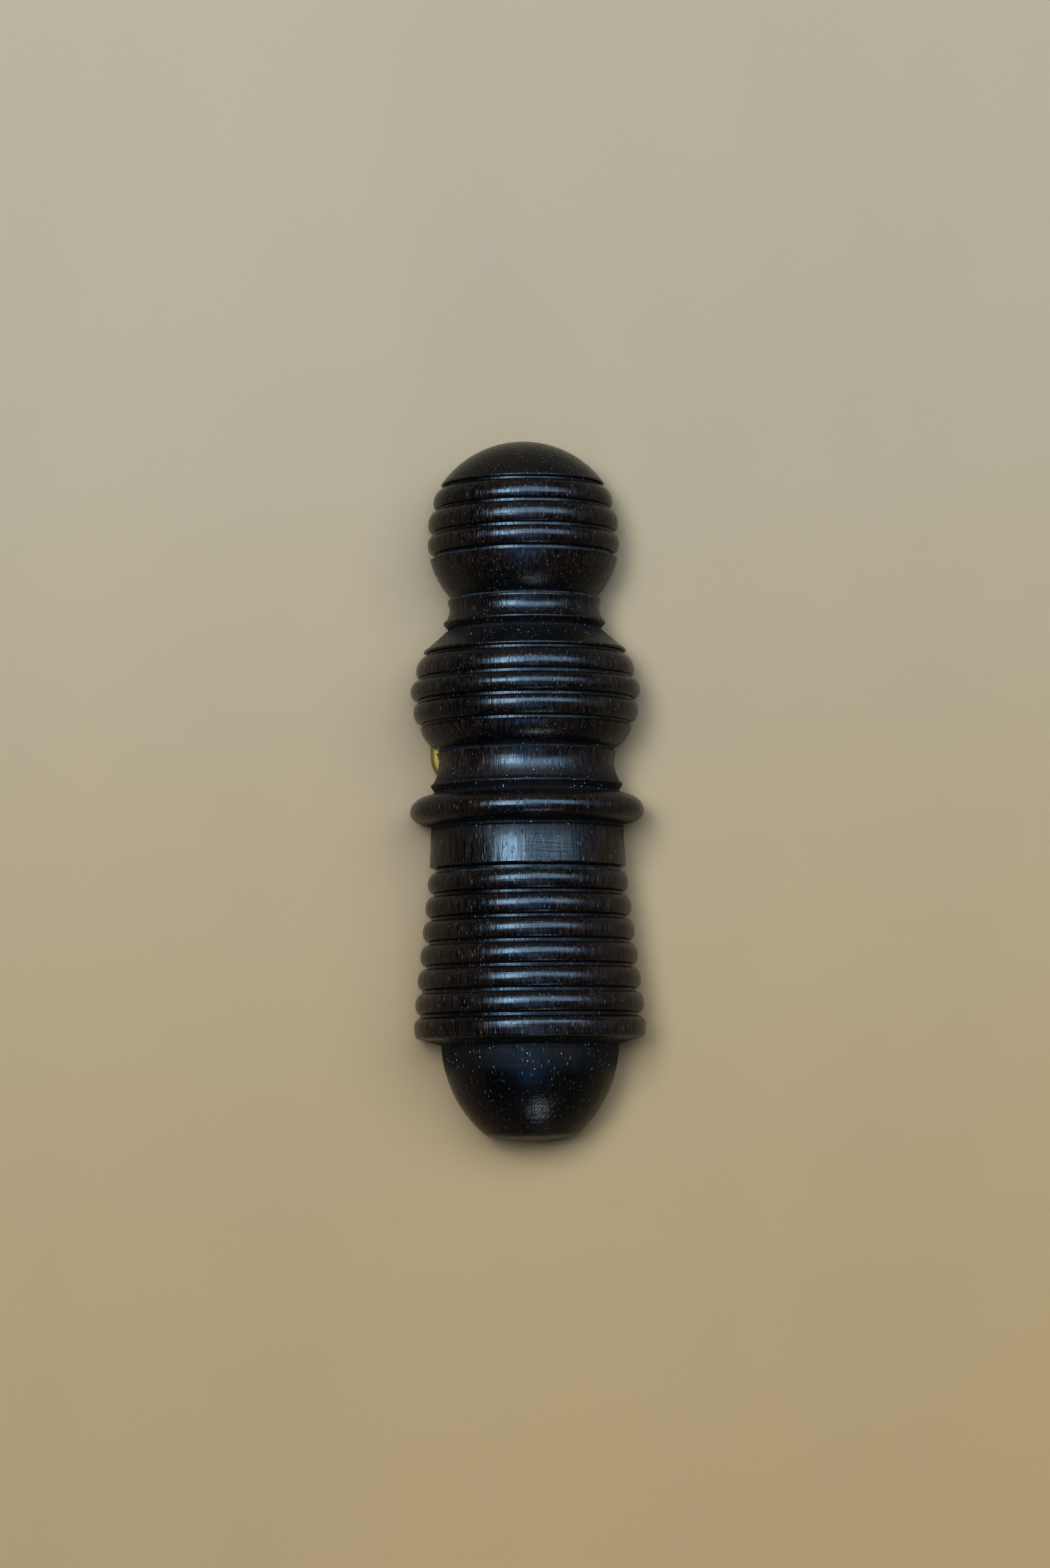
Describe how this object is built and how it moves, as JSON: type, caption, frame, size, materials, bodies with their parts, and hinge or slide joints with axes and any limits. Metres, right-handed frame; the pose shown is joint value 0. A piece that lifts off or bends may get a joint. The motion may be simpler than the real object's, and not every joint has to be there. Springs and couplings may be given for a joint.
{
  "type": "covered keyhole escutcheon",
  "caption": "Keyhole escutcheon with a half-round turned wooden cover that swings aside on a brass back plate, with a ball head, ringed bulb, bead stack and acorn end.",
  "frame": {"origin": "centre of the round part of the keyhole, on the back face of the plate", "axes": "+Z out from the door, +Y up towards the head of the cover, +X to the right seen from the front"},
  "size_m": [0.0322, 0.0957, 0.0184],
  "materials": {
    "ebonised_wood": "waxed satin",
    "plate_brass": "polished",
    "screw_brass": "satin",
    "washer_brass": "satin"
  },
  "bodies": {
    "plate": {"back_plate": "plate_brass"},
    "cover": {"cover": "ebonised_wood", "pivot_screw": "screw_brass", "pivot_washer": "washer_brass"}
  },
  "joints": [
    {"name": "cover_swing", "type": "hinge", "parent": "plate", "child": "cover", "pos_m": [0, 0.0332, 0.0024], "axis": [0, 0, 1], "continuous": true}
  ]
}
